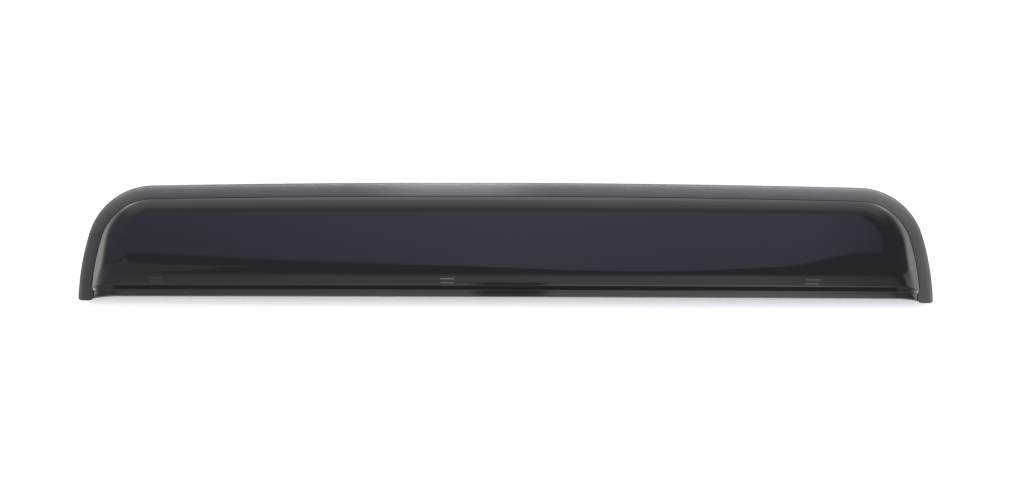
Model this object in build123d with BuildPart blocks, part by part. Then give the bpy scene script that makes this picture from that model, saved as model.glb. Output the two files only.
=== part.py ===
from build123d import *
import math
import os

# Sunroof wind deflector: a dark acrylic visor, thermoformed in one piece, whose
# base flange sits in a push-on rubber edge trim that rests on the car roof.
# X runs across the car, Y towards the windscreen and Z up from the roof.
# Sizes are in millimetres and degrees.

# plan of the trim's outer edge
front_length = 727.7
front_bow = 3.96
corner_radius = 69.0
corner_turn = 73.25
flank_radius = 265.0
depth = 122.4

# rubber edge trim
seal_width = 10.7
seal_height = 9.0
sole_thickness = 2.1
sole_width = 11.0
sole_round = 0.8
slot_depth = 5.7
slot_play = 0.5
flange_play = 0.4
grip_gap = 0.05
grip_width = 1.0
grip_rake = 0.3
grip_pitch = 2.8
grip_count = 2
nose_radius = 5.0
nose_tilt = 35.0
dome_radius = 19.8
brim_round = 0.2
foot_round = 4.0
foot_margin = 0.5

# acrylic visor
sheet = 3.0
wall_gap = 0.3
wall_slope = 39.0
shoulder_radius = 44.0
crown_radius = 30000.0
top_height = 26.8
ridge_setback = 31.5
ridge_radius = 48.0
brow_slope = 9.0
panel_radius = 320.0
panel_rear_slope = 2.5
panel_turn = 14.0

# stepped lip along the visor's free rear edge
lip_width = 7.3
lip_step = 1.7
lip_lean = 12.0
lip_setback = 1.0
riser_drop = 1.55
riser_run = 3.8
edge_round = 0.9

# how closely a place or a slope is matched when faces and edges are picked
match = 0.01

# sizes that follow from the ones above
front = depth / 2
rear = -depth / 2
front_radius = (front_length ** 2 / 4 + front_bow ** 2) / (2 * front_bow)
front_turn = math.degrees(math.asin(front_length / 2 / front_radius))
flange_base = sole_thickness + slot_play
flange_top = flange_base + sheet
slot_roof = flange_top + slot_play
slot_end = seal_width - slot_depth
slope = math.radians(wall_slope)
wall_foot = seal_width + wall_gap - (slot_roof - flange_base) / math.tan(slope)
tilt = math.radians(nose_tilt)
nose_height = seal_height - nose_radius * math.cos(tilt) - dome_radius * (1 - math.cos(tilt))
dome_centre = nose_radius + (dome_radius - nose_radius) * math.sin(tilt)
brim_height = seal_height - 2 * brim_round
brim = seal_width + (brim_height - slot_roof) / math.tan(slope)
brim_tilt = math.degrees(math.asin((brim - brim_round - dome_centre) / dome_radius))
brow = math.radians(brow_slope)
lean = math.radians(lip_lean)
rim_plane = Plane((0, rear + lip_setback, 0), (1, 0, 0), (0, -math.cos(lean), math.sin(lean)))
step_plane = rim_plane.offset(-lip_width)
inner_step_plane = step_plane.offset(-sheet)


def half_rim(inset, end):
    """Draws the left half of the outer edge, moved in by inset, from the front middle to Y = end."""
    bow = JernArc((0, front - inset), (-1, 0), front_radius - inset, front_turn)
    corner = JernArc(bow @ 1, bow % 1, corner_radius - inset, corner_turn - front_turn)
    radius = flank_radius - inset
    centre = (corner @ 1).Y - radius * math.cos(math.radians(corner_turn))
    foot_turn = math.degrees(math.acos((end - centre) / radius))
    return JernArc(corner @ 1, corner % 1, radius, foot_turn - corner_turn)


def plan(inset, end):
    """Face inside the outer edge moved in by inset, closed straight across at Y = end."""
    with BuildSketch() as face:
        with BuildLine():
            flank = half_rim(inset, end)
            Line(flank @ 1, (0, end))
            mirror(about=Plane.YZ)
        make_face()
    return face.sketch


def form(skin):
    """Solid form of the visor, its drafted walls, panel and shoulder all moved in by skin."""
    outline = plan(wall_foot + skin / math.sin(slope), rear - depth / 2)
    swing = math.atan(front_length / crown_radius)
    start = Plane(
        (-crown_radius * math.sin(swing), 0, crown_radius * (math.cos(swing) - 1)),
        (0, 1, 0),
        (math.cos(swing), 0, math.sin(swing)),
    )
    bend = ridge_radius - skin
    brow_end = Vector(
        rear + ridge_setback - bend * math.sin(brow),
        top_height - skin - bend * (1 - math.cos(brow)),
    )
    uphill = Vector(math.cos(brow), math.sin(brow))
    with BuildPart() as body:
        with BuildSketch(Plane.XY.offset(flange_base)):
            add(outline)
        extrude(amount=top_height + shoulder_radius, taper=90 - wall_slope)
        with BuildSketch(start):
            with BuildLine():
                fall = Line(brow_end - uphill * 2 * depth, brow_end)
                ridge = JernArc(fall @ 1, uphill, bend, -brow_slope - panel_rear_slope)
                panel = JernArc(ridge @ 1, ridge % 1, panel_radius - skin, -panel_turn)
                nose = Line(panel @ 1, panel @ 1 + (panel % 1) * depth)
                Polyline(nose @ 1, (2 * depth, -2 * depth), (-3 * depth, -2 * depth), fall @ 0)
            make_face()
        revolve(
            axis=Axis((0, 0, -crown_radius), (0, 1, 0)),
            revolution_arc=2 * math.degrees(swing),
            mode=Mode.INTERSECT,
        )
        split(bisect_by=Plane.XZ.offset(front + seal_width), keep=Keep.BOTTOM)
        walls = body.faces().filter_by(lambda f: abs(f.normal_at().Z - math.cos(slope)) < match)
        roof = body.faces().filter_by(lambda f: f.normal_at().Z > math.cos(slope) + match)
        shoulder = walls.edges().filter_by(lambda e: any(e.is_same(r) for r in roof.edges()))
        fillet(shoulder, shoulder_radius - skin)
    return body.part


def lying(shapes, plane):
    """Shapes whose whole length or outline lies in the plane, above the base flange."""
    return shapes.filter_by(
        lambda s: max(abs(plane.to_local_coords(v.center()).Z) for v in [s, *s.vertices()]) < match
        and s.center().Z > flange_top + sheet / 3
    )


def grip_teeth(root, tip, order):
    """Points of the small saw teeth along one side of the slot, listed outwards or inwards by order."""
    teeth = []
    for k in range(grip_count):
        at = slot_end + grip_width + k * grip_pitch
        teeth += [(at, root), (at + grip_rake, tip), (at + grip_width, root)]
    return teeth[::order]


outer = form(0)
outer_lip = form(lip_step)
inner = form(sheet)
inner_lip = form(sheet + lip_step)
flange_plan = plan(slot_end + flange_play, rear - depth / 4)
trim_outside = plan(-foot_margin, rear)
trim_inside = plan(brim + foot_margin, rear - seal_width)

# hollow under the visor, stepped like the outside
with BuildPart() as hollow:
    add(inner)
    split(bisect_by=inner_step_plane, keep=Keep.BOTTOM)
    add(inner_lip)

# visor: form with its step and lip, base flange, then hollowed to one sheet thickness
with BuildPart() as visor_shell:
    add(outer)
    split(bisect_by=step_plane, keep=Keep.BOTTOM)
    riser = lying(visor_shell.faces(), step_plane)[0]
    chamfer(lying(visor_shell.edges(), step_plane), riser_drop, riser_run, reference=riser)
    add(outer_lip)
    with BuildSketch(Plane.XY.offset(flange_base)):
        add(flange_plan)
    extrude(amount=sheet)
    split(bisect_by=rim_plane, keep=Keep.BOTTOM)
    add(hollow.part, mode=Mode.SUBTRACT)
    fillet(lying(visor_shell.edges(), rim_plane), edge_round)
visor_shell.part.label = "visor_shell"

# line that the trim follows, a little longer than the trim
with BuildLine() as trim_line:
    flank = half_rim(0, rear - foot_round)
    mirror(about=Plane.YZ)
section_plane = Plane(flank @ 1, Vector(0, 0, 1).cross(flank % 1), flank % 1)

# trim: one extruded section with a toothed slot for the flange, its feet cut round
with BuildPart() as edge_seal:
    with BuildSketch(section_plane):
        with BuildLine():
            nose = JernArc((0, nose_height), (0, 1), nose_radius, nose_tilt - 90)
            dome = JernArc(nose @ 1, nose % 1, dome_radius, -nose_tilt - brim_tilt)
            Polyline(
                dome @ 1,
                (brim, brim_height),
                (seal_width, slot_roof),
                *grip_teeth(slot_roof, flange_top + grip_gap, -1),
                (slot_end, slot_roof),
                (slot_end, sole_thickness),
                *grip_teeth(sole_thickness, flange_base - grip_gap, 1),
                (sole_width, sole_thickness),
                (sole_width, sole_round),
                (sole_width - sole_round, 0),
                (sole_round, 0),
                (0, sole_round),
                (0, nose_height),
            )
        make_face()
    sweep(path=trim_line.line)
    with BuildSketch() as trim_outline:
        add(trim_outside)
        add(trim_inside, mode=Mode.SUBTRACT)
        fillet(trim_outline.vertices().group_by(Axis.Y)[0], foot_round + foot_margin)
    extrude(amount=2 * seal_height, mode=Mode.INTERSECT)
edge_seal.part.label = "edge_seal"

os.makedirs("parts", exist_ok=True)
export_step(visor_shell.part, "parts/visor_shell.step")
export_step(edge_seal.part, "parts/edge_seal.step")
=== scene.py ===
import math

import bmesh
import bpy
import numpy as np
from mathutils import Matrix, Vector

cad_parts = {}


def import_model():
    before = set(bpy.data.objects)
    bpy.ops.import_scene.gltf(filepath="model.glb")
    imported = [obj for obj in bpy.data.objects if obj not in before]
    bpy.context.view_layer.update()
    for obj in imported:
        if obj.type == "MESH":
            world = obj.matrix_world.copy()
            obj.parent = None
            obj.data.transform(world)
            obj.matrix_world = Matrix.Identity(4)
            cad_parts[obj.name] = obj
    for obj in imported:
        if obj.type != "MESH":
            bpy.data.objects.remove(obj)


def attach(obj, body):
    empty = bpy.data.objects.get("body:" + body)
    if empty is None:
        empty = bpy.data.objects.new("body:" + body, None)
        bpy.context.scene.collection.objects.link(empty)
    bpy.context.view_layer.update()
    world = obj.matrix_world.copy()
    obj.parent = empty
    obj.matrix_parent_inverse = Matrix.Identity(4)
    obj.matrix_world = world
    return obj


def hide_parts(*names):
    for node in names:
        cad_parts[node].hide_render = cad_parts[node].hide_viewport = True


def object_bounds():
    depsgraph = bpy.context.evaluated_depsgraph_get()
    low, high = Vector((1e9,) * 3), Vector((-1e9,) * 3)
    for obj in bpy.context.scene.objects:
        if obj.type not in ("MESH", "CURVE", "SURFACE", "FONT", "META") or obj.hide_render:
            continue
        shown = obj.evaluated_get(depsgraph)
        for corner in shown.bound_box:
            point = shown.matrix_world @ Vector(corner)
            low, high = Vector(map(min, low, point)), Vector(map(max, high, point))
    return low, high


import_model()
cad_box = [list(corner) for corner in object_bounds()]


# Visor
# One 3 mm sheet of dark smoked acrylic, heated, drawn over a form and trimmed along its free rear
# edge, which a small step stiffens. Its base flange is held in the slot of the rubber trim.

MM = 0.001
front = cad_box[1][1] / MM
rear = cad_box[0][1] / MM

# plan of the trim's outer edge, which flange, walls and shoulder follow
front_length = 727.7
front_bow = 3.96
corner_radius = 69.0
corner_turn = math.radians(73.25)
flank_radius = 265.0
last_turn = math.radians(110.0)

# sheet, base flange and the trim's slot around it
sheet = 3.0
seal_width = 10.7
slot_end = 5.0
slot_play = 0.5
flange_play = 0.4
flange_base = 2.6
flange_top = flange_base + sheet
flange_edge = slot_end + flange_play
slot_roof = flange_top + slot_play

# walls, shoulder and roof
wall_gap = 0.3
wall_slope = math.radians(39.0)
wall_foot = seal_width + wall_gap - (slot_roof - flange_base) / math.tan(wall_slope)
shoulder_radius = 44.0
crown_radius = 30000.0
top_height = 26.8
ridge_setback = 31.5
ridge_radius = 48.0
ridge_y = rear + ridge_setback
ridge_z = top_height - ridge_radius
brow_slope = math.radians(9.0)
panel_radius = 320.0
panel_rear_slope = math.radians(2.5)

# stepped lip along the free rear edge
lip_setback = 1.0
lip_width = 7.3
lip_step = 1.7
lip_lean = math.radians(12.0)
rim_y = rear + lip_setback
riser_run = 3.8
riser_ease = 0.3
riser_spread = 1.9
rim_fall = 0.3
edge_round = 0.9
inner_round = 0.3
strip_width = 15.0

# how finely the sheet is divided, and how often a place on it is narrowed down
halvings = 40
settlings = 12
wall_rows = 7
shoulder_rows = 19
rim_columns = 501
riser_steps = 15
lip_steps = 6
round_steps = 6
strip_spacing = 1.2
crease_degrees = 40

front_radius = (front_length ** 2 / 4 + front_bow ** 2) / (2 * front_bow)
front_turn = math.asin(front_length / 2 / front_radius)
arc_radii = np.array([front_radius, corner_radius, flank_radius])
arc_starts = np.array([0.0, front_turn, corner_turn])
start_ways = np.stack([np.sin(arc_starts), np.cos(arc_starts)], axis=1)
centre_steps = np.diff(arc_radii)[:, None] * start_ways[1:]
front_centre = np.array([0.0, front - front_radius])
arc_centres = front_centre - np.vstack([np.zeros(2), np.cumsum(centre_steps, axis=0)])
turn_knots = np.append(arc_starts, last_turn)
run_knots = np.append(0.0, np.cumsum(arc_radii * np.diff(turn_knots)))


def outline(turn, inset):
    """Plan of the rim, moved in by inset, where it faces turn radians round from +Y.

    The rim is a shallow front arc, a corner arc and a flank arc on each side, with common tangents.
    A point is its arc's centre plus (radius - inset) times the outward direction (sin turn, cos turn).
    """
    arc = np.searchsorted(arc_starts[1:], np.abs(turn))
    reach = arc_radii[arc] - inset
    x = arc_centres[arc, 0] * np.sign(turn) + reach * np.sin(turn)
    y = arc_centres[arc, 1] + reach * np.cos(turn)
    return x, y


def turn_at(run):
    """Outward angle at a distance run along the outer rim from its front middle, negative to the left."""
    return np.sign(run) * np.interp(np.abs(run), run_knots, turn_knots)


def run_at(turn):
    """Distance along the outer rim at an outward angle, the inverse of turn_at."""
    return np.sign(turn) * np.interp(np.abs(turn), turn_knots, run_knots)


def roof_line(y, skin):
    """Height and steepness of the roof's middle line at Y, moved in by skin.

    It rises along the brow, turns over the ridge arc and falls along the wide panel arc, all tangent.
    """
    ridge = ridge_radius - skin
    panel = panel_radius - skin
    panel_y = ridge_y + (ridge_radius - panel_radius) * math.sin(panel_rear_slope)
    panel_z = ridge_z + (ridge_radius - panel_radius) * math.cos(panel_rear_slope)
    on_brow = y < ridge_y - ridge * math.sin(brow_slope)
    on_panel = y > ridge_y + ridge * math.sin(panel_rear_slope)
    offset = np.where(on_panel, y - panel_y, y - ridge_y)
    radius = np.where(on_panel, panel, ridge)
    rise = np.sqrt(np.maximum(radius ** 2 - offset ** 2, 1e-9))
    brow_z = ridge_z + ridge / math.cos(brow_slope) + (y - ridge_y) * math.tan(brow_slope)
    height = np.where(on_brow, brow_z, np.where(on_panel, panel_z, ridge_z) + rise)
    return height, np.where(on_brow, math.tan(brow_slope), -offset / rise)


def roof(x, y, skin):
    """Height of the roof: its middle line turned about a Y axis one crown radius below the base."""
    height = roof_line(y, skin)[0]
    return np.sqrt((crown_radius + height) ** 2 - x ** 2) - crown_radius


def halve(low, high, is_low):
    """Arrays of roots by repeated halving: is_low says where the middle still lies below the root."""
    for _ in range(halvings):
        middle = (low + high) / 2
        below = is_low(middle)
        low = np.where(below, middle, low)
        high = np.where(below, high, middle)
    return (low + high) / 2


def shoulder_balls(turn):
    """Inset and height of the ball that rounds wall into roof, and the directions of both its contacts.

    The ball's centre lies one shoulder radius inside the drafted wall and one inside the roof.
    """
    def wall_height(inset):
        along = (inset - wall_foot) * math.tan(wall_slope)
        return flange_base + along - shoulder_radius / math.cos(wall_slope)

    inset = halve(
        np.full_like(turn, wall_foot),
        np.full_like(turn, wall_foot + 3 * shoulder_radius),
        lambda d: wall_height(d) < roof(*outline(turn, d), shoulder_radius),
    )
    x, y = outline(turn, inset)
    z = wall_height(inset)
    level = math.sin(wall_slope)
    upright = np.full_like(z, math.cos(wall_slope))
    wall_out = np.stack([np.sin(turn) * level, np.cos(turn) * level, upright], axis=-1)
    reach = np.hypot(x, z + crown_radius)
    steepness = roof_line(y, shoulder_radius)[1]
    roof_out = np.stack([x / reach, -steepness, (z + crown_radius) / reach], axis=-1)
    roof_out /= np.linalg.norm(roof_out, axis=-1, keepdims=True)
    return inset, z, wall_out, roof_out


def side(turn, up, step, depth):
    """Points of flange (up -1 to 0), wall (0 to 1) and shoulder (1 to 2), step and depth in from the skin.

    The step is the lip's, and the depth is that in the sheet, from 0 outside to its thickness.
    Flange and wall are straight lines in the upright section that faces turn. The shoulder is an arc
    of the rolling ball, from its contact with the wall to its contact with the roof.
    """
    turn, up, step, depth = np.broadcast_arrays(turn, up, step, depth)
    skin = step + depth
    inset, z, wall_out, roof_out = shoulder_balls(turn)
    foot_z = flange_top - depth
    foot = wall_foot + skin / math.sin(wall_slope) + (foot_z - flange_base) / math.tan(wall_slope)
    ball = shoulder_radius - skin
    on_wall = np.clip(up, 0, 1)
    on_flange = np.clip(up + 1, 0, 1)
    wall_inset = foot + on_wall * (inset - ball * math.sin(wall_slope) - foot)
    wall_z = foot_z + on_wall * (z + ball * math.cos(wall_slope) - foot_z)
    flat_inset = flange_edge + on_flange * (wall_inset - flange_edge)
    lower = np.stack([*outline(turn, flat_inset), wall_z], axis=-1)
    angle = np.arccos(np.sum(wall_out * roof_out, axis=-1))
    share = np.clip(up - 1, 0, 1) * angle
    lean_out = np.sin(angle - share)[..., None] * wall_out + np.sin(share)[..., None] * roof_out
    centre = np.stack([*outline(turn, inset), z], axis=-1)
    upper = centre + (ball / np.sin(angle))[..., None] * lean_out
    return np.where((up > 1)[..., None], upper, lower)


def side_end(setback, up, step, depth):
    """Outward angle at which the side meets the leaning plane that stands setback before the rear rim."""
    up, step, depth, setback = np.broadcast_arrays(up, step, depth, setback)

    def before(turn):
        point = side(turn, up, step, depth)
        return point[..., 1] - point[..., 2] * math.tan(lip_lean) > rim_y + setback / math.cos(lip_lean)

    return halve(np.full(up.shape, corner_turn), np.full(up.shape, last_turn), before)


def roof_strip(x, setback, skin):
    """Points of the roof at X in that leaning plane, found by settling Y and Z in turn."""
    y = np.full(x.shape, rim_y) + setback / math.cos(lip_lean)
    start = y
    for _ in range(settlings):
        y = start + roof(x, y, skin) * math.tan(lip_lean)
    return np.stack([x, y, roof(x, y, skin)], axis=-1)


def rounded(corners, radii):
    """Polyline with each inner corner turned into an arc of its radius, in a few steps."""
    points = [corners[:1]]
    for before, corner, after, radius in zip(corners, corners[1:], corners[2:], radii):
        back = (before - corner) / np.linalg.norm(before - corner)
        ahead = (after - corner) / np.linalg.norm(after - corner)
        half = math.acos(np.dot(back, ahead)) / 2
        sweep = math.pi - 2 * half
        centre = corner + (back + ahead) / np.linalg.norm(back + ahead) * radius / math.sin(half)
        first = corner + back * radius / math.tan(half) - centre
        last = corner + ahead * radius / math.tan(half) - centre
        share = np.linspace(0, 1, round_steps + 1)[:, None] * sweep
        points.append(centre + (np.sin(sweep - share) * first + np.sin(share) * last) / math.sin(sweep))
    return np.vstack([*points, corners[-1:]])


def refined(line, spacing):
    """Polyline with points added so that none of its runs is longer than spacing."""
    length = np.append(0, np.cumsum(np.linalg.norm(np.diff(line, axis=0), axis=1)))
    pieces = np.ceil(np.diff(length) / spacing - 1e-6).astype(int)
    runs = [np.linspace(a, b, n, endpoint=False) for a, b, n in zip(length, length[1:], pieces)]
    stops = np.concatenate([*runs, length[-1:]])
    return np.stack([np.interp(stops, length, values) for values in line.T], axis=1)


def grid_faces(rows, columns, first):
    """Quads of a grid of rows x columns vertices that are numbered from first."""
    index = first + np.arange(rows * columns).reshape(rows, columns)
    corners = [index[:-1, :-1], index[1:, :-1], index[1:, 1:], index[:-1, 1:]]
    return np.stack(corners, axis=-1).reshape(-1, 4)


def add_piece(name, grids, marks=None):
    """Joins grids of points in millimetres, shape rows x columns x 3, into one closed smooth-shaded mesh.

    Marks are values of one attribute per point, by the attribute's name.
    """
    merge_gap = 0.002 * MM
    counts = [g.shape[0] * g.shape[1] for g in grids]
    firsts = np.append(0, np.cumsum(counts))
    points = np.vstack([g.reshape(-1, 3) for g in grids]) * MM
    faces = np.vstack([grid_faces(g.shape[0], g.shape[1], f) for g, f in zip(grids, firsts)])
    mesh = bpy.data.meshes.new(name)
    mesh.from_pydata(points, [], faces.tolist())
    for label, values in (marks or {}).items():
        mesh.attributes.new(label, "FLOAT", "POINT").data.foreach_set("value", values.ravel())
    shell = bmesh.new()
    shell.from_mesh(mesh)
    bmesh.ops.remove_doubles(shell, verts=shell.verts, dist=merge_gap)
    bmesh.ops.dissolve_degenerate(shell, edges=shell.edges, dist=merge_gap)
    bmesh.ops.recalc_face_normals(shell, faces=shell.faces)
    shell.to_mesh(mesh)
    shell.free()
    mesh.shade_smooth()
    mesh.set_sharp_from_angle(angle=math.radians(crease_degrees))
    piece = bpy.data.objects.new(name, mesh)
    bpy.context.scene.collection.objects.link(piece)
    return piece


ups = np.concatenate([[-1.0], np.linspace(0, 1, wall_rows), np.linspace(1, 2, shoulder_rows)[1:]])
rim_shares = np.linspace(-1, 1, rim_columns)


def body(depth):
    """Sides and roof before the rear strip, on the outer or the inner face of the sheet.

    Sides run along the rim between the strip's two ends. The roof fills the curve where they meet it,
    each plan point blended from the four edges of that field and its height taken from the roof.
    """
    ends = run_at(side_end(strip_width, ups, 0.0, depth))
    sides = side(turn_at(rim_shares[:, None] * ends[None, :]), ups[None, :], 0.0, depth)
    edge = sides[:, -1]
    corner_run = (run_knots[1] + run_knots[2]) / 2
    cut = int(np.argmin(np.abs(rim_shares * ends[-1] + corner_run)))
    left = edge[:cut + 1]
    right = edge[::-1][:cut + 1]
    front_edge = edge[cut:rim_columns - cut]
    rear_x = np.linspace(left[0, 0], right[0, 0], len(front_edge))
    rear_edge = roof_strip(rear_x, strip_width, depth)
    u = np.linspace(0, 1, len(front_edge))[:, None, None]
    v = np.linspace(0, 1, cut + 1)[None, :, None]
    lengthwise = (1 - v) * rear_edge[:, None] + v * front_edge[:, None]
    crosswise = (1 - u) * left[None] + u * right[None]
    rear_corners = (1 - u) * (1 - v) * left[0] + u * (1 - v) * right[0]
    front_corners = (1 - u) * v * left[-1] + u * v * right[-1]
    field = lengthwise + crosswise - rear_corners - front_corners
    field[..., 2] = roof(field[..., 0], field[..., 1], depth)
    return sides, field


outer_sides, outer_roof = body(0.0)
inner_sides, inner_roof = body(sheet)

# section of the rear strip: how far before the rim, and how deep in from the skin; the riser is
# drawn as a soft S and the lip falls off a little towards its rim
riser_share = np.linspace(0, 1, riser_steps)
riser_start = lip_width + riser_run + riser_ease
riser = np.stack([
    riser_start - (riser_run + riser_ease + riser_spread) * riser_share,
    lip_step * riser_share ** 2 * (3 - 2 * riser_share),
], axis=1)
lip_share = np.linspace(0, 1, lip_steps)[1:]
lip = np.stack([riser[-1, 0] * (1 - lip_share), lip_step + rim_fall * lip_share ** 2], axis=1)
lip_under = lip_step + sheet
rim = rounded(np.array([
    lip[-2],
    lip[-1],
    (0, lip_under),
    (lip_width + sheet, lip_under),
    (lip_width + sheet, sheet),
    (strip_width, sheet),
]), [edge_round, edge_round, inner_round, inner_round])
strip = refined(np.vstack([[(strip_width, 0)], riser, lip[:-2], rim]), strip_spacing)
setback, strip_skin = strip.T
rim_index = np.argmin(np.abs(strip_skin - lip_step - sheet / 2) + setback)
on_inner = np.arange(len(strip)) > rim_index
through = np.clip((strip_skin - lip[-1, 1]) / (lip_under - lip[-1, 1]), 0, 1)
strip_depth = np.where(setback < edge_round, through * sheet, np.where(on_inner, sheet, 0))
strip_step = strip_skin - strip_depth

right_turns = side_end(setback[None, :], ups[:, None], strip_step[None, :], strip_depth[None, :])
right_side = side(right_turns, ups[:, None], strip_step[None, :], strip_depth[None, :])
left_side = right_side * np.array([-1, 1, 1])
strip_x = np.linspace(-1, 1, outer_roof.shape[0])[:, None] * right_side[-1, :, 0]
strip_roof = roof_strip(strip_x, setback[None, :], strip_skin[None, :])
flange_rim = np.stack([outer_sides[:, 0], inner_sides[:, 0]], axis=1)
half_strip = len(strip) // 2 + 1
flange_ends = [
    np.stack([s[0, :half_strip], s[0, ::-1][:half_strip]], axis=1) for s in (left_side, right_side)
]
visor = add_piece("visor", [
    outer_sides, outer_roof, inner_sides, inner_roof, left_side, strip_roof, right_side, flange_rim,
    *flange_ends,
])


def linear(code):
    """Linear red, green, blue and alpha of an sRGB hex code."""
    channels = [int(code[i:i + 2], 16) / 255 for i in (0, 2, 4)]
    return [c / 12.92 if c <= 0.04045 else ((c + 0.055) / 1.055) ** 2.4 for c in channels] + [1.0]


def add_node(tree, kind, settings=None, links=None):
    """Adds a shader node. Settings and links go by socket name or number, or else by property name."""
    node = tree.nodes.new(kind)
    for key, value in (settings or {}).items():
        if isinstance(key, int) or key in node.inputs:
            node.inputs[key].default_value = value
        else:
            setattr(node, key, value)
    for key, output in (links or {}).items():
        tree.links.new(output, node.inputs[key])
    return node


def new_material(name):
    """A material with an empty node tree and its output node."""
    material = bpy.data.materials.new(name)
    material.use_nodes = True
    material.node_tree.nodes.clear()
    return material, material.node_tree, add_node(material.node_tree, "ShaderNodeOutputMaterial")


# Smoked PMMA: the moulding heat leaves the gloss skin very faintly wavy, handling leaves thin haze and
# specks of dust, and the trimmed rear rim is scraped to a satin. The eye sees deep bluish black mirrors.
# Sizes are in millimetres, and the dust is drawn coarser than it is so that it shows.
wave_size = 40.0
wave_depth = 0.003
haze_size = 111.0
speck_size = 1.43
scrape_start = 0.3
scrape_full = 0.05
rim_place = rim_y * math.cos(lip_lean)
across_rim = (0, math.cos(lip_lean), -math.sin(lip_lean))

acrylic, tree, output = new_material("smoked_pmma_thermoformed")
place = add_node(tree, "ShaderNodeTexCoord")
peel = add_node(
    tree, "ShaderNodeTexNoise", {"Scale": 1 / (wave_size * MM), "Detail": 1.0},
    {"Vector": place.outputs["Object"]})
haze = add_node(
    tree, "ShaderNodeTexNoise", {"Scale": 1 / (haze_size * MM), "Detail": 3.0},
    {"Vector": place.outputs["Object"]})
specks = add_node(
    tree, "ShaderNodeTexNoise", {"Scale": 1 / (speck_size * MM), "Detail": 0.0},
    {"Vector": place.outputs["Object"]})
dust = add_node(
    tree, "ShaderNodeMapRange", {"From Min": 0.76, "From Max": 0.86, "To Max": 0.6},
    {"Value": specks.outputs["Fac"]})
tone = add_node(tree, "ShaderNodeValToRGB", {}, {"Fac": dust.outputs[0]})
tone.color_ramp.elements[0].color = linear("0c0c11")
tone.color_ramp.elements[1].color = linear("2b2b2e")
from_rim = add_node(
    tree, "ShaderNodeVectorMath", {"operation": "DOT_PRODUCT", 1: across_rim},
    {0: place.outputs["Object"]})
scraped = add_node(
    tree, "ShaderNodeMapRange",
    {"From Min": (rim_place + scrape_start) * MM, "From Max": (rim_place + scrape_full) * MM,
     "To Max": 0.25},
    {"Value": from_rim.outputs["Value"]})
sheen = add_node(
    tree, "ShaderNodeMapRange", {"From Min": 0.35, "From Max": 0.65, "To Min": 0.012, "To Max": 0.025},
    {"Value": haze.outputs["Fac"]})
roughness = add_node(
    tree, "ShaderNodeMath", {"operation": "ADD"}, {0: sheen.outputs[0], 1: scraped.outputs[0]})
waves = add_node(tree, "ShaderNodeBump", {"Distance": wave_depth * MM}, {"Height": peel.outputs["Fac"]})
gloss = add_node(
    tree, "ShaderNodeBsdfPrincipled", {"IOR": 1.5},
    {"Base Color": tone.outputs["Color"], "Roughness": roughness.outputs[0],
     "Normal": waves.outputs["Normal"]})
tree.links.new(gloss.outputs["BSDF"], output.inputs["Surface"])
visor.data.materials.append(acrylic)
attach(visor, "root")
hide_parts("visor_shell")


# Edge trim
# A length of extruded EPDM rubber, slotted and toothed inside, pushed on to the visor's base flange.
# Its skin is matt and finely grained. Its sole lies on the roof and its cut feet end the visor's arms.

seal_height = 9.0
sole_thickness = 2.1
sole_width = 11.0
sole_round = 0.8
grip_gap = 0.05
grip_width = 1.0
grip_rake = 0.3
grip_pitch = 2.8
grip_count = 2
nose_radius = 5.0
nose_tilt = math.radians(35.0)
dome_radius = 19.8
brim_round = 0.2
brim_touch = 0.2
flare = 2.6
flare_start = rear + 15.0
flare_run = 5.0
foot_round = 4.5
foot_margin = 0.5
nose_points = 13
dome_points = 25
section_spacing = 1.0

nose_height = seal_height - nose_radius * math.cos(nose_tilt) - dome_radius * (1 - math.cos(nose_tilt))
nose_centre = np.array([nose_radius, nose_height])
dome_offset = nose_radius + (dome_radius - nose_radius) * math.sin(nose_tilt)
dome_centre = np.array([dome_offset, seal_height - dome_radius])
brim_height = seal_height - 2 * brim_round
brim = seal_width + brim_touch + (brim_height - slot_roof) / math.tan(wall_slope)
brim_tilt = math.asin((brim - brim_round - dome_offset) / dome_radius)
nose_angle = np.linspace(math.pi / 2, nose_tilt, nose_points)[:, None]
nose = nose_centre + nose_radius * np.hstack([-np.sin(nose_angle), np.cos(nose_angle)])
dome_angle = np.linspace(nose_tilt, -brim_tilt, dome_points)[1:, None]
dome = dome_centre + dome_radius * np.hstack([-np.sin(dome_angle), np.cos(dome_angle)])
grip_starts = slot_end + grip_width + grip_pitch * np.arange(grip_count)[:, None]
grip_steps = np.array([0, grip_rake, grip_width])


def teeth(root, tip):
    """Points of the small saw teeth along one side of the slot, from its closed end outwards."""
    heights = np.tile([root, tip, root], (grip_count, 1))
    return np.stack([grip_starts + grip_steps, heights], axis=-1).reshape(-1, 2)


# the section, swept along the rim and ended in rounded feet, where its brim flares over the visor's edge
section = refined(np.vstack([
    nose,
    dome,
    [(brim, brim_height), (seal_width, slot_roof)],
    teeth(slot_roof, flange_top + grip_gap)[::-1],
    [(slot_end, slot_roof), (slot_end, sole_thickness)],
    teeth(sole_thickness, flange_base - grip_gap),
    [(sole_width, sole_thickness), (sole_width, sole_round), (sole_width - sole_round, 0)],
    [(sole_round, 0), (0, sole_round), (0, nose_height)],
]), section_spacing)
section_inset, section_height = section.T
corner_in = np.minimum(section_inset, brim - section_inset) + foot_margin
foot_y = rear + foot_round - np.sqrt(foot_round ** 2 - np.clip(foot_round - corner_in, 0, None) ** 2)
foot_turn = np.arccos((foot_y - arc_centres[2, 1]) / (flank_radius - section_inset))
trim_turn = turn_at(rim_shares[:, None] * run_at(foot_turn)[None, :])
plain_y = outline(trim_turn, section_inset[None, :])[1]
flaring = np.clip((flare_start - plain_y) / flare_run, 0, 1)
on_brim = np.clip((section_inset - slot_end) / (brim - slot_end), 0, 1) * (section_height > slot_roof)
trim_x, trim_y = outline(trim_turn, section_inset + flare * flaring * on_brim)
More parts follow.
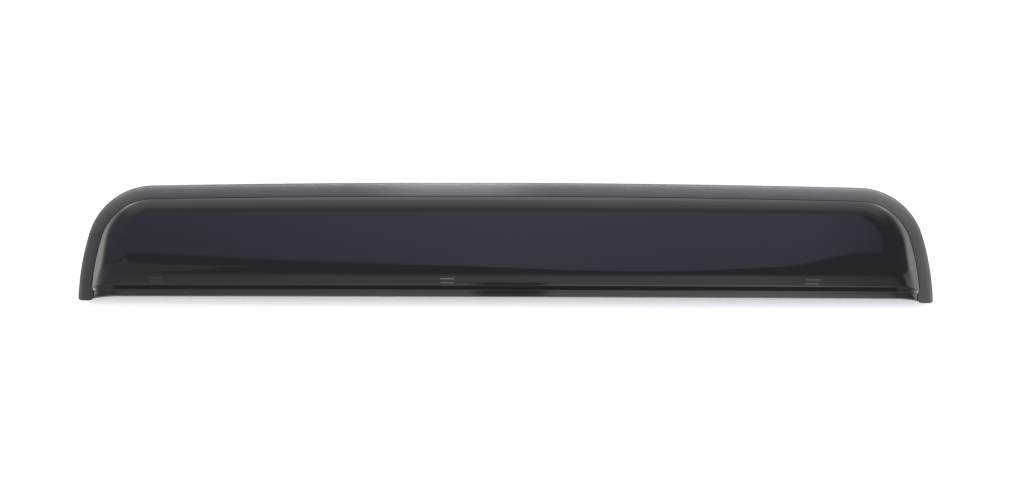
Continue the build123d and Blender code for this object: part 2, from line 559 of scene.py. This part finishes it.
trim_points = np.stack([trim_x, trim_y, np.broadcast_to(section_height, trim_x.shape)], axis=-1)
around = np.append(0, np.cumsum(np.linalg.norm(np.diff(section, axis=0), axis=1))) * MM
trim = add_piece("trim", [trim_points], {"around": np.broadcast_to(around, trim_x.shape)})

# the cut faces that close both feet
caps = bmesh.new()
caps.from_mesh(trim.data)
open_edges = [edge for edge in caps.edges if edge.is_boundary]
cut_faces = bmesh.ops.edgeloop_fill(caps, edges=open_edges)["faces"]
bmesh.ops.triangulate(caps, faces=cut_faces, ngon_method="BEAUTY")
bmesh.ops.recalc_face_normals(caps, faces=caps.faces)
caps.to_mesh(trim.data)
caps.free()
trim.data.set_sharp_from_angle(angle=math.radians(crease_degrees))

# EPDM: the extruded skin keeps a fine grain and faint lines along its length. Painted light lightens the
# front and the right and darkens the arms, and a painted highlight sits left of the front's middle.
# Sizes are in millimetres, and grain and lines are drawn coarser than they are so that they show.
grain_size = 1.54
grain_depth = 0.04
line_pitch = 1.25
line_length = 111.0
painted_front_reach = 55.0
trim_half = 440.0
# place, reach and core of the painted highlight left of the front's middle
painted_highlight_place = -55.0
painted_highlight_reach = 110.0
painted_highlight_core = 20.0

rubber, tree, output = new_material("epdm_rubber_extruded")
place = add_node(tree, "ShaderNodeTexCoord")
spot = add_node(tree, "ShaderNodeSeparateXYZ", {}, {"Vector": place.outputs["Object"]})
ring = add_node(tree, "ShaderNodeAttribute", {"attribute_name": "around"})
along = add_node(
    tree, "ShaderNodeCombineXYZ", {},
    {"X": ring.outputs["Fac"], "Y": spot.outputs["X"], "Z": spot.outputs["Y"]})
drawn = add_node(
    tree, "ShaderNodeMapping",
    {"Scale": (1 / (line_pitch * MM), 1 / (line_length * MM), 1 / (line_length * MM))},
    {"Vector": along.outputs[0]})
lines = add_node(tree, "ShaderNodeTexNoise", {"Scale": 1.0, "Detail": 2.0}, {"Vector": drawn.outputs[0]})
grain = add_node(
    tree, "ShaderNodeTexNoise", {"Scale": 1 / (grain_size * MM), "Detail": 2.0},
    {"Vector": place.outputs["Object"]})
skin = add_node(
    tree, "ShaderNodeMath", {"operation": "ADD"}, {0: lines.outputs["Fac"], 1: grain.outputs["Fac"]})
# painted light: the front of the trim lighter and its arms darker, as if lit from the front
painted_front_light = add_node(
    tree, "ShaderNodeMapRange",
    {"interpolation_type": "SMOOTHSTEP", "From Max": painted_front_reach * MM, "To Min": -0.095, "To Max": 0.165},
    {"Value": spot.outputs["Y"]})
# painted light: the trim lighter towards the right
painted_right_light = add_node(
    tree, "ShaderNodeMapRange", {"From Min": -trim_half * MM, "From Max": trim_half * MM, "To Max": 0.27},
    {"Value": spot.outputs["X"]})
painted_front_and_right_light = add_node(
    tree, "ShaderNodeMath", {"operation": "ADD"}, {0: painted_front_light.outputs[0], 1: painted_right_light.outputs[0]})
# painted highlight: a pale patch centred left of the front's middle
beside_painted_highlight = add_node(
    tree, "ShaderNodeMath", {"operation": "SUBTRACT", 1: painted_highlight_place * MM}, {0: spot.outputs["X"]})
off_painted_highlight = add_node(tree, "ShaderNodeMath", {"operation": "ABSOLUTE"}, {0: beside_painted_highlight.outputs[0]})
painted_highlight = add_node(
    tree, "ShaderNodeMapRange",
    {"interpolation_type": "SMOOTHSTEP", "From Min": painted_highlight_reach * MM, "From Max": painted_highlight_core * MM,
     "To Max": 0.5},
    {"Value": off_painted_highlight.outputs[0]})
# the painted light and painted highlight added up; with a little grain and lines they set the base colour
painted_light = add_node(
    tree, "ShaderNodeMath", {"operation": "ADD"}, {0: painted_front_and_right_light.outputs[0], 1: painted_highlight.outputs[0]})
grain_and_painted_light = add_node(
    tree, "ShaderNodeMath", {"operation": "MULTIPLY_ADD", 1: 0.15},
    {0: skin.outputs[0], 2: painted_light.outputs[0]})
tone = add_node(tree, "ShaderNodeValToRGB", {}, {"Fac": grain_and_painted_light.outputs[0]})
tone.color_ramp.elements[0].color = linear("252527")
tone.color_ramp.elements[1].color = linear("747475")
relief = add_node(
    tree, "ShaderNodeBump", {"Strength": 0.4, "Distance": grain_depth * MM},
    {"Height": grain.outputs["Fac"]})
matt = add_node(
    tree, "ShaderNodeBsdfPrincipled", {"IOR": 1.5, "Roughness": 0.4},
    {"Base Color": tone.outputs["Color"], "Normal": relief.outputs["Normal"]})
tree.links.new(matt.outputs["BSDF"], output.inputs["Surface"])
trim.data.materials.append(rubber)
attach(trim, "root")
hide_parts("edge_seal")


# Studio
# A white sheet under the part and a white room around it, with the camera straight above. The room is
# dim overhead, bluish ahead of the visor and brightest near the horizon, which draws the visor's gloss.

scene = bpy.context.scene
scene.view_settings.view_transform = "Standard"
world = bpy.data.worlds.new("studio")
scene.world = world
world.use_nodes = True
tree = world.node_tree
tree.nodes.clear()
place = add_node(tree, "ShaderNodeTexCoord")
way = add_node(tree, "ShaderNodeSeparateXYZ", {}, {"Vector": place.outputs["Generated"]})
way_x, way_y, way_z = way.outputs


def within(tree, *bounds):
    """Output that is 1 where the source of every bound has passed from its low to its high value.

    Each bound eases from 0 to 1 between the two values, and the bounds are multiplied.
    """
    passed = [
        add_node(
            tree, "ShaderNodeMapRange",
            {"interpolation_type": "SMOOTHSTEP", "From Min": low, "From Max": high}, {"Value": source})
        for source, low, high in bounds
    ]
    product = passed[0]
    for share in passed[1:]:
        product = add_node(
            tree, "ShaderNodeMath", {"operation": "MULTIPLY"},
            {0: product.outputs[0], 1: share.outputs[0]})
    return product.outputs[0]


def levels(tree, source, stops, tint=(1, 1, 1)):
    """Levels by stops against one part of a direction, times a tint. A brightness of 1 is paper white."""
    first, last = min(stops), max(stops)
    share = add_node(tree, "ShaderNodeMapRange", {"From Min": first, "From Max": last}, {"Value": source})
    ramp = add_node(tree, "ShaderNodeValToRGB", {}, {"Fac": share.outputs[0]})
    while len(ramp.color_ramp.elements) < len(stops):
        ramp.color_ramp.elements.new(0.5)
    for element, (at, level) in zip(ramp.color_ramp.elements, sorted(stops.items())):
        element.position = (at - first) / (last - first)
        element.color = [level * channel for channel in tint] + [1]
    return ramp.outputs["Color"]


# the dim patch overhead: it ends ahead along an uneven edge, measured in Y from edge_base, and gives way
# to a bluish sky that dims on the far right
overhead = (0.40, 0.39, 0.42, 1)
ahead = (0.86, 0.81, 1.12)
edge_base = -0.1
edge_soft = 0.015
right_fade = (0.2, 0.16)
overhead_edge = levels(tree, way_x, {
    -0.25: 0.267, -0.163: 0.28, -0.11: 0.24, -0.05: 0.213, 0: 0.144, 0.027: 0.085, 0.06: 0.065,
    0.09: 0.085, 0.12: 0.168, 0.16: 0.298, 0.25: 0.3})
past_edge = add_node(tree, "ShaderNodeMath", {"operation": "SUBTRACT"}, {0: way_y, 1: overhead_edge})
lit = within(
    tree, (past_edge.outputs[0], edge_base - edge_soft, edge_base + edge_soft), (way_x, *right_fade))
ahead_by_x = levels(tree, way_x, {
    -0.25: 0.72, -0.153: 0.78, -0.086: 0.92, 0: 1.06, 0.08: 1.0, 0.14: 0.98, 0.165: 0.78, 0.2: 0.55})
ahead_by_y = add_node(
    tree, "ShaderNodeMapRange", {"From Min": 0.1, "From Max": 0.45, "To Min": 0.96, "To Max": 1.1},
    {"Value": way_y})
ahead_level = add_node(
    tree, "ShaderNodeMath", {"operation": "MULTIPLY"}, {0: ahead_by_x, 1: ahead_by_y.outputs[0]})
front_sky = add_node(
    tree, "ShaderNodeVectorMath", {"operation": "SCALE", 0: ahead}, {"Scale": ahead_level.outputs[0]})
sky = add_node(
    tree, "ShaderNodeMix", {"data_type": "RGBA", 6: overhead}, {0: lit, 7: front_sky.outputs[0]})

# a pale streak that narrows from the left into the dim patch
streak = (0.68, 0.67, 0.72, 1)
streak_run = {"From Min": -0.2, "From Max": -0.113}
top_soft = 0.015
foot_soft = 0.03
streak_top = add_node(
    tree, "ShaderNodeMapRange", {**streak_run, "To Min": 0.148, "To Max": 0.053}, {"Value": way_x})
streak_foot = add_node(
    tree, "ShaderNodeMapRange", {**streak_run, "To Min": -0.257, "To Max": 0.083}, {"Value": way_x})
under_top = add_node(
    tree, "ShaderNodeMath", {"operation": "SUBTRACT"}, {0: streak_top.outputs[0], 1: way_y})
over_foot = add_node(
    tree, "ShaderNodeMath", {"operation": "SUBTRACT"}, {0: way_y, 1: streak_foot.outputs[0]})
in_streak = within(
    tree, (under_top.outputs[0], -top_soft, top_soft), (over_foot.outputs[0], -foot_soft, foot_soft))
sky = add_node(tree, "ShaderNodeMix", {"data_type": "RGBA", 7: streak}, {0: in_streak, 6: sky.outputs[2]})

# the sky behind: it is brighter lower down, where the lip mirrors it, and in the middle the camera's
# stand hides it, darkest at its top
behind = (1.15, 1.13, 1.18)
behind_fade = (-0.07, -0.22)
lip_fade = (-0.335, -0.4)
stand_top = (0.28, 0.28, 0.29, 1)
stand_foot = (0.70, 0.70, 0.71, 1)
stand_place = 0.002
stand_side = (0.021, 0.011)
stand_edge = (-0.3209, -0.3217)
stand_fade = (-0.33, -0.45)
brow_level = levels(tree, way_x, {
    -0.25: 0.65, -0.16: 0.68, -0.086: 0.82, 0.013: 0.92, 0.118: 1.03, 0.169: 0.62, 0.25: 0.6})
lip_level = levels(tree, way_x, {
    -0.25: 0.9, -0.153: 0.95, -0.086: 1.12, 0.06: 1.52, 0.12: 1.9, 0.14: 1.8, 0.17: 1.2, 0.25: 1.0})
rear_level = add_node(
    tree, "ShaderNodeMix", {}, {0: within(tree, (way_y, *lip_fade)), 2: brow_level, 3: lip_level})
rear_sky = add_node(
    tree, "ShaderNodeVectorMath", {"operation": "SCALE", 0: behind}, {"Scale": rear_level.outputs[0]})
beside_stand = add_node(tree, "ShaderNodeMath", {"operation": "SUBTRACT", 1: stand_place}, {0: way_x})
off_stand = add_node(tree, "ShaderNodeMath", {"operation": "ABSOLUTE"}, {0: beside_stand.outputs[0]})
stand = add_node(
    tree, "ShaderNodeMix", {"data_type": "RGBA", 6: stand_top, 7: stand_foot},
    {0: within(tree, (way_y, *stand_fade))})
rear_view = add_node(
    tree, "ShaderNodeMix", {"data_type": "RGBA"},
    {0: within(tree, (off_stand.outputs[0], *stand_side), (way_y, *stand_edge)),
     6: rear_sky.outputs[0], 7: stand.outputs[2]})
sky = add_node(
    tree, "ShaderNodeMix", {"data_type": "RGBA"},
    {0: within(tree, (way_y, *behind_fade)), 6: sky.outputs[2], 7: rear_view.outputs[2]})

# the glow towards the horizon, by height: it stands high in front and low at the sides, where it fades
# more slowly the squarer it faces the part
glow_tint = (1, 0.99, 1.04)
glow_pivot = 0.05
glow_fade = (0.04, -0.035)
side_turn = (0.4, 0.75)
level_way = add_node(tree, "ShaderNodeCombineXYZ", {}, {"X": way_x, "Y": way_y})
unit_way = add_node(tree, "ShaderNodeVectorMath", {"operation": "NORMALIZE"}, {0: level_way.outputs[0]})
heading = add_node(tree, "ShaderNodeSeparateXYZ", {}, {"Vector": unit_way.outputs[0]})
to_left = add_node(tree, "ShaderNodeMath", {"operation": "MULTIPLY", 1: -1}, {0: heading.outputs["X"]})
turned = add_node(tree, "ShaderNodeMath", {"operation": "ABSOLUTE"}, {0: heading.outputs["X"]})
facing = add_node(tree, "ShaderNodeMath", {"operation": "ABSOLUTE"}, {0: heading.outputs["Y"]})
stretch = add_node(
    tree, "ShaderNodeMapRange", {"From Min": 0.03, "From Max": 0.14, "To Min": 0.4, "To Max": 1.0},
    {"Value": facing.outputs[0]})
over_pivot = add_node(tree, "ShaderNodeMath", {"operation": "SUBTRACT", 1: glow_pivot}, {0: way_z})
height = add_node(
    tree, "ShaderNodeMath", {"operation": "MULTIPLY_ADD", 2: glow_pivot},
    {0: over_pivot.outputs[0], 1: stretch.outputs[0]})
front_glow = levels(tree, height.outputs[0], {
    -0.02: 1, 0: 17, 0.1: 15, 0.17: 3.0, 0.24: 1.95, 0.34: 1.75, 0.44: 1.5, 0.57: 1.2, 0.61: 0.9,
    0.645: 0.74, 0.68: 0.76, 0.71: 0.68, 0.74: 0.66, 1: 0.66}, glow_tint)
left_glow = levels(tree, height.outputs[0], {
    -0.02: 1, 0: 16, 0.03: 12, 0.045: 4.8, 0.09: 2.8, 0.13: 1.6, 0.19: 0.9, 0.28: 0.68})
right_glow = levels(tree, height.outputs[0], {
    -0.02: 1, 0: 11, 0.03: 8.5, 0.05: 3.6, 0.1: 3.1, 0.16: 1.8, 0.28: 0.7, 0.4: 0.45})
glow = add_node(
    tree, "ShaderNodeMix", {"data_type": "RGBA"},
    {0: within(tree, (to_left.outputs[0], *side_turn)), 6: front_glow, 7: left_glow})
glow = add_node(
    tree, "ShaderNodeMix", {"data_type": "RGBA"},
    {0: within(tree, (heading.outputs["X"], *side_turn)), 6: glow.outputs[2], 7: right_glow})
glow_top = add_node(
    tree, "ShaderNodeMapRange", {"From Min": 0.64, "From Max": 0.94, "To Min": 0.755, "To Max": 0.24},
    {"Value": turned.outputs[0]})
over_top = add_node(
    tree, "ShaderNodeMath", {"operation": "SUBTRACT"}, {0: height.outputs[0], 1: glow_top.outputs[0]})
sky = add_node(
    tree, "ShaderNodeMix", {"data_type": "RGBA"},
    {0: within(tree, (over_top.outputs[0], *glow_fade)), 6: sky.outputs[2], 7: glow.outputs[2]})

# a dark stretch low behind, which the step before the lip mirrors
rear_dark = (0.27, 0.27, 0.28, 1)
dark_start = (-0.3, -0.45)
dark_top = (0.78, 0.62)
dark_foot = (0.25, 0.4)
dark_side = (0.6, 0.35)
sideward = add_node(tree, "ShaderNodeMath", {"operation": "ABSOLUTE"}, {0: way_x})
in_dark = within(
    tree, (way_y, *dark_start), (way_z, *dark_top), (way_z, *dark_foot),
    (sideward.outputs[0], *dark_side))
sky = add_node(
    tree, "ShaderNodeMix", {"data_type": "RGBA", 7: rear_dark}, {0: in_dark, 6: sky.outputs[2]})
path = add_node(tree, "ShaderNodeLightPath")
room = add_node(tree, "ShaderNodeBackground", {}, {"Color": sky.outputs[2]})
white = add_node(tree, "ShaderNodeBackground", {"Color": (1, 1, 1, 1)})
seen = add_node(
    tree, "ShaderNodeMixShader", {},
    {0: path.outputs["Is Camera Ray"], 1: room.outputs[0], 2: white.outputs[0]})
add_node(tree, "ShaderNodeOutputWorld", {}, {"Surface": seen.outputs[0]})

# small lamps behind, in two rows: the broad ones show as short dashes on the ridge and the narrow ones
# on the brow; places and sizes are in metres, and a level of 1 is paper white
lamp_levels = {-0.4545: 0.5, -0.0761: 3.0, 0.3984: 1.5}
lamp_rows = {-0.198: 0.024, -0.2373: 0.0022}
lamp_length = 0.018
lamp_height = 0.6
for lamp_x, level in lamp_levels.items():
    for lamp_y, lamp_width in lamp_rows.items():
        lamp_data = bpy.data.lights.new("lamp", "AREA")
        lamp_data.shape = "RECTANGLE"
        lamp_data.size = lamp_length
        lamp_data.size_y = lamp_width
        lamp_data.energy = level * math.pi * lamp_length * lamp_width
        lamp = bpy.data.objects.new("lamp", lamp_data)
        lamp.location = (lamp_x, lamp_y, lamp_height)
        scene.collection.objects.link(lamp)

# the white sheet, in metres: matt paper that the camera sees filled up to white, apart from a soft shade
# along the rear of the part
floor_half = 4.0
floor_fill = 0.62
floor_shade = 0.46
shade_rear = (-0.076, -0.056)
shade_front = (0.0, -0.04)
shade_side = (0.445, 0.42)
floor_corners = [(x * floor_half, y * floor_half, 0) for x, y in ((-1, -1), (1, -1), (1, 1), (-1, 1))]
floor_mesh = bpy.data.meshes.new("floor")
floor_mesh.from_pydata(floor_corners, [], [(0, 1, 2, 3)])
floor = bpy.data.objects.new("floor", floor_mesh)
scene.collection.objects.link(floor)
paper, tree, output = new_material("white_paper")
path = add_node(tree, "ShaderNodeLightPath")
place = add_node(tree, "ShaderNodeTexCoord")
spot = add_node(tree, "ShaderNodeSeparateXYZ", {}, {"Vector": place.outputs["Object"]})
sideward = add_node(tree, "ShaderNodeMath", {"operation": "ABSOLUTE"}, {0: spot.outputs["X"]})
shade = within(
    tree, (spot.outputs["Y"], *shade_rear), (spot.outputs["Y"], *shade_front),
    (sideward.outputs[0], *shade_side))
fill = add_node(
    tree, "ShaderNodeMath", {"operation": "MULTIPLY_ADD", 1: -floor_shade, 2: floor_fill}, {0: shade})
seen_fill = add_node(
    tree, "ShaderNodeMath", {"operation": "MULTIPLY"},
    {0: path.outputs["Is Camera Ray"], 1: fill.outputs[0]})
fibre = add_node(tree, "ShaderNodeBsdfDiffuse", {"Color": linear("eeeeee")})
filling = add_node(
    tree, "ShaderNodeEmission", {"Color": (1, 1, 1, 1)}, {"Strength": seen_fill.outputs[0]})
both = add_node(tree, "ShaderNodeAddShader", {}, {0: fibre.outputs[0], 1: filling.outputs[0]})
tree.links.new(both.outputs[0], output.inputs["Surface"])
floor.data.materials.append(paper)

# the camera, straight above and turned very slightly, at a scale taken from the part's width
photo_width = 1013
mm_per_pixel = 1.0280
camera_height = 2600.0
camera_aim = (0.7, -8.0)
camera_roll = math.radians(0.19)
aim_height = 3.3
camera_data = bpy.data.cameras.new("camera")
camera_data.sensor_width = 36.0
camera_data.lens = camera_data.sensor_width * camera_height / (photo_width * mm_per_pixel)
camera_data.clip_end = 50
camera = bpy.data.objects.new("camera", camera_data)
scene.collection.objects.link(camera)
camera_place = (camera_aim[0] * MM, camera_aim[1] * MM, (camera_height + aim_height) * MM)
camera.matrix_world = Matrix.Translation(camera_place) @ Matrix.Rotation(camera_roll, 4, "Z")
scene.camera = camera
